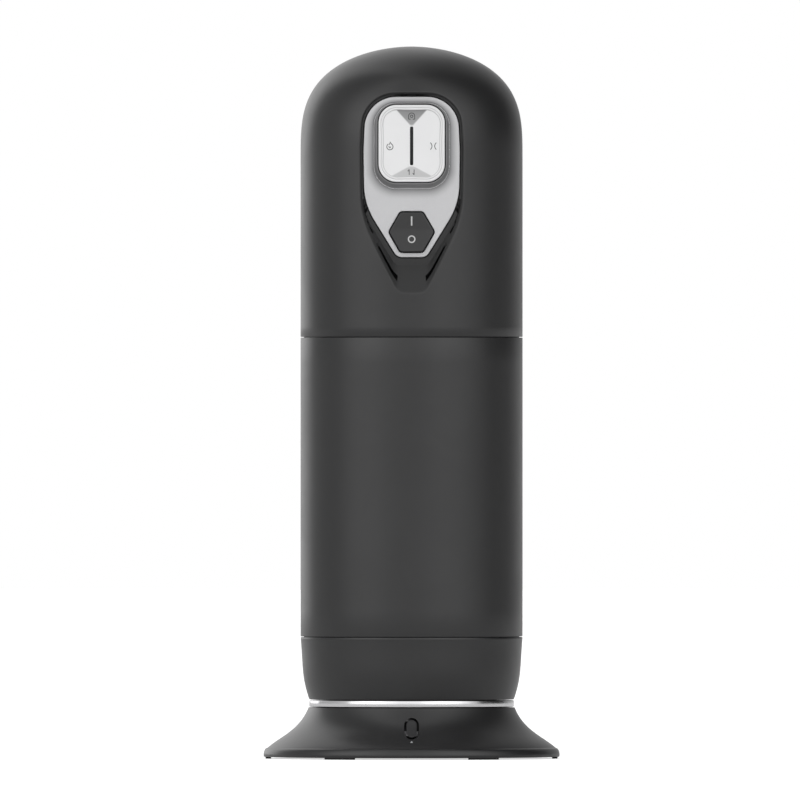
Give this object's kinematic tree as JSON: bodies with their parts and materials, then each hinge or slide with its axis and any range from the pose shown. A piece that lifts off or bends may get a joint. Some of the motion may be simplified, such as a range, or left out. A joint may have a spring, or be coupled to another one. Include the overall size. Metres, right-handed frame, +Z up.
{
  "type": "cordless heated massager",
  "caption": "Domed cylinder with a control pad and a hexagonal rocker in a front recess, a motor-driven stroke carriage inside, and a weighted flared stand it lifts off.",
  "frame": {"origin": "centre of the six feet, on the surface the stand rests on", "axes": "+Z up along the cylinder, -Y towards the control side, +X to the right as seen from the control side"},
  "size_m": [0.12, 0.12, 0.2886],
  "materials": {
    "shell": "satin black moulding",
    "matte": "matte black moulding",
    "trim": "bright plated ring",
    "silver": "fine blasted silver",
    "pearl": "pearl white, satin gloss",
    "grey": "grey sloping skirt",
    "light": "clear light pipe, unlit",
    "steel": "machined",
    "rubber": "black rubber",
    "silicone": "soft pale silicone",
    "nylon": "natural moulding",
    "brass": "turned",
    "board": "green solder mask",
    "cell": "shrink sleeve",
    "foil": "amber film heater"
  },
  "bodies": {
    "base": {"base_skirt": "shell", "base_plate": "matte", "trim_ring": "trim", "ballast_ring": "steel", "foot_pad_1": "rubber", "foot_pad_2": "rubber", "foot_pad_3": "rubber", "foot_pad_4": "rubber", "foot_pad_5": "rubber", "foot_pad_6": "rubber", "base_screw_1": "steel", "base_screw_2": "steel", "base_screw_3": "steel", "indicator_lens": "light", "latch_spring": "steel"},
    "release": {"release_button": "matte", "latch_plate": "steel"},
    "housing": {"dome_housing": "shell", "barrel_shell": "shell", "collar_shell": "shell", "mouth_ring": "matte", "control_plate": "silver", "pad_ring": "grey", "control_board": "board", "rocker_body": "matte", "charge_socket": "matte", "lower_frame": "nylon", "upper_frame": "nylon", "guide_rod_left": "steel", "guide_rod_right": "steel", "screw_bush_lower": "brass", "screw_bush_upper": "brass", "idler_pin": "steel", "motor_gearbox": "steel", "motor": "steel", "air_pump": "matte", "speaker": "matte", "battery_cradle": "nylon", "battery_cell_left": "cell", "battery_cell_right": "cell", "battery_cell_rear": "cell"},
    "carriage": {"sleeve_cup": "nylon", "carriage_ring": "matte", "guide_bush_left": "brass", "guide_bush_right": "brass", "drive_nut": "brass", "liner_sleeve": "silicone", "heater_tube": "foil"},
    "squeeze_left": {"squeeze_pad_left": "silicone"},
    "squeeze_right": {"squeeze_pad_right": "silicone"},
    "screw": {"lead_screw": "steel", "screw_gear": "brass"},
    "idler": {"idler_gear": "nylon"},
    "pinion": {"motor_pinion": "brass"},
    "gimbal": {"pad_gimbal": "nylon"},
    "pad": {"control_pad": "pearl", "light_bar": "light"},
    "rocker": {"rocker_cap": "shell"},
    "cover": {"port_cover": "rubber"}
  },
  "joints": [
    {"name": "body_lift", "type": "slide", "parent": "base", "child": "housing", "axis": [0, 0, 1], "range_m": [0, 0.06]},
    {"name": "release_press", "type": "slide", "parent": "base", "child": "release", "axis": [0, 1, 0], "range_m": [0, 0.002], "stiffness_N_per_m": 400, "springref_m": -0.001, "deforming": ["latch_spring"]},
    {"name": "stroke", "type": "slide", "parent": "housing", "child": "carriage", "axis": [0, 0, 1], "range_m": [0, 0.038]},
    {"name": "squeeze", "type": "slide", "parent": "carriage", "child": "squeeze_left", "axis": [1, 0, 0], "range_m": [0, 0.002], "stiffness_N_per_m": 200, "springref_m": -0.0005},
    {"name": "squeeze_opposite", "type": "slide", "parent": "carriage", "child": "squeeze_right", "axis": [-1, 0, 0], "range_m": [0, 0.002]},
    {"name": "screw_spin", "type": "hinge", "parent": "housing", "child": "screw", "pos_m": [0, 0.035, 0.1715], "axis": [0, 0, 1], "range_deg": [-575, 0]},
    {"name": "idler_spin", "type": "hinge", "parent": "housing", "child": "idler", "pos_m": [0, 0.0215, 0.1715], "axis": [0, 0, 1], "range_deg": [0, 340]},
    {"name": "pinion_spin", "type": "hinge", "parent": "housing", "child": "pinion", "pos_m": [0, 0.008, 0.1715], "axis": [0, 0, 1], "range_deg": [-575, 0]},
    {"name": "pad_turn", "type": "hinge", "parent": "housing", "child": "gimbal", "pos_m": [0, -0.0385, 0.249], "axis": [0, 0, 1], "range_deg": [-2.5, 2.5], "stiffness_Nm_per_rad": 2},
    {"name": "pad_nod", "type": "hinge", "parent": "gimbal", "child": "pad", "pos_m": [0, -0.0385, 0.249], "axis": [1, 0, 0], "range_deg": [-1.8, 1.8], "stiffness_Nm_per_rad": 2},
    {"name": "rocker_press", "type": "hinge", "parent": "housing", "child": "rocker", "pos_m": [0, -0.0373, 0.2132], "axis": [1, 0, 0], "range_deg": [0, 10.5]},
    {"name": "cover_open", "type": "hinge", "parent": "housing", "child": "cover", "pos_m": [0, 0.0453, 0.2513], "axis": [-1, 0, 0], "range_deg": [0, 100]}
  ],
  "couplings": [
    {"joint": "squeeze_opposite", "follows": "squeeze", "ratio": 1},
    {"joint": "screw_spin", "follows": "stroke", "rad_per_m": -261.8},
    {"joint": "idler_spin", "follows": "stroke", "rad_per_m": 154},
    {"joint": "pinion_spin", "follows": "stroke", "rad_per_m": -261.8}
  ]
}
